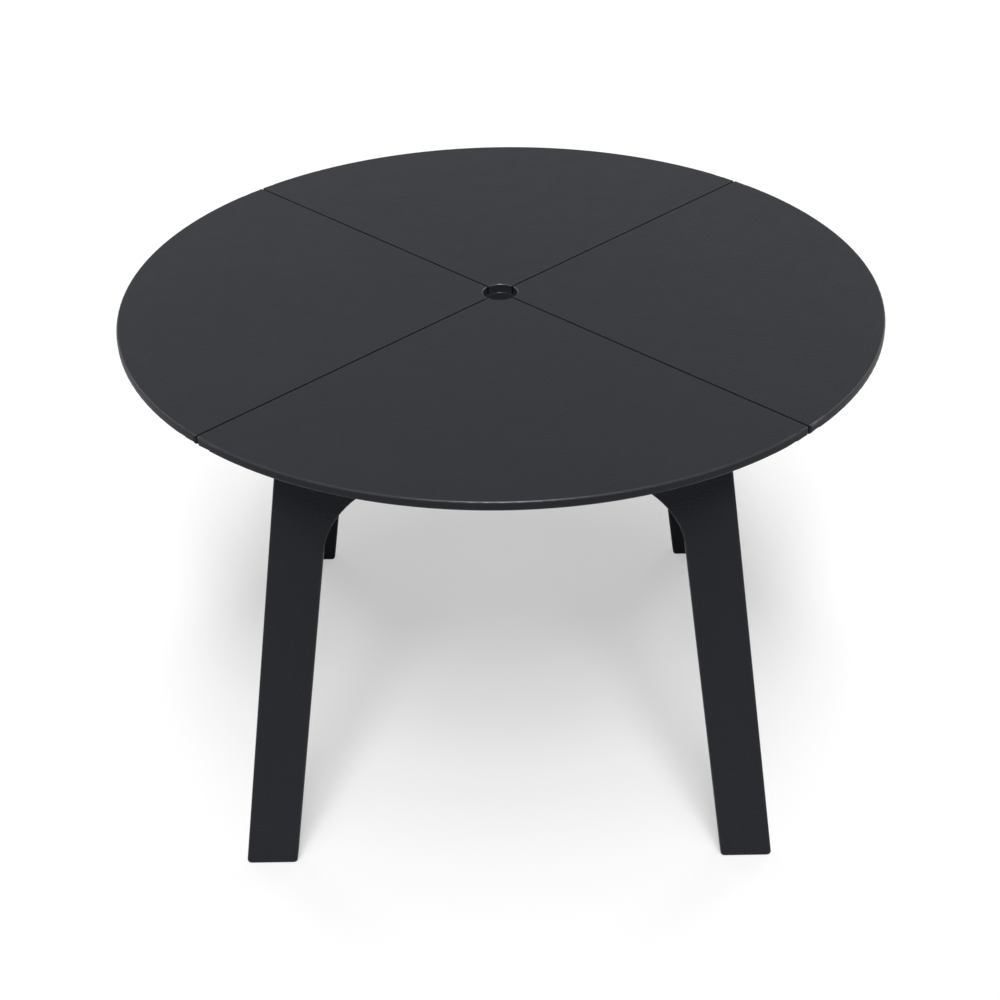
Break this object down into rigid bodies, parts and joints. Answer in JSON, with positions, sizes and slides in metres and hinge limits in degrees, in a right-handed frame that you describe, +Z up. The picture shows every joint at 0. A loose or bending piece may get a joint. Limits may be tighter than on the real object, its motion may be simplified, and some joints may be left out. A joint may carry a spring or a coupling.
{
  "type": "umbrella table",
  "caption": "Round outdoor dining table with a top of quarter panels, an umbrella hole in its centre and leaning arched leg boards.",
  "frame": {"origin": "on the floor, under the centre of the round top", "axes": "+Z up, -Y towards the front of the picture, +X to its right; the leg boards lie across Y"},
  "size_m": [1.118, 1.118, 0.756],
  "materials": {
    "charcoal_sheet": "matte, finely pebbled polyethylene sheet with routed edges",
    "stainless_fasteners": "plain stainless steel"
  },
  "bodies": {
    "root": {"top_panel_front": "charcoal_sheet", "top_panel_right": "charcoal_sheet", "top_panel_rear": "charcoal_sheet", "top_panel_left": "charcoal_sheet", "hub_plate": "charcoal_sheet", "seam_batten_front_right": "charcoal_sheet", "seam_batten_rear_right": "charcoal_sheet", "seam_batten_rear_left": "charcoal_sheet", "seam_batten_front_left": "charcoal_sheet", "front_arch": "charcoal_sheet", "rear_arch": "charcoal_sheet", "right_rail": "charcoal_sheet", "left_rail": "charcoal_sheet", "front_hub_beam": "charcoal_sheet", "rear_hub_beam": "charcoal_sheet", "front_cleat": "charcoal_sheet", "rear_cleat": "charcoal_sheet", "frame_bolts": "stainless_fasteners", "barrel_nuts": "stainless_fasteners", "seam_screws": "stainless_fasteners", "cleat_side_screws": "stainless_fasteners", "cleat_top_screws": "stainless_fasteners", "rail_screws": "stainless_fasteners", "hub_screws": "stainless_fasteners"}
  },
  "joints": []
}
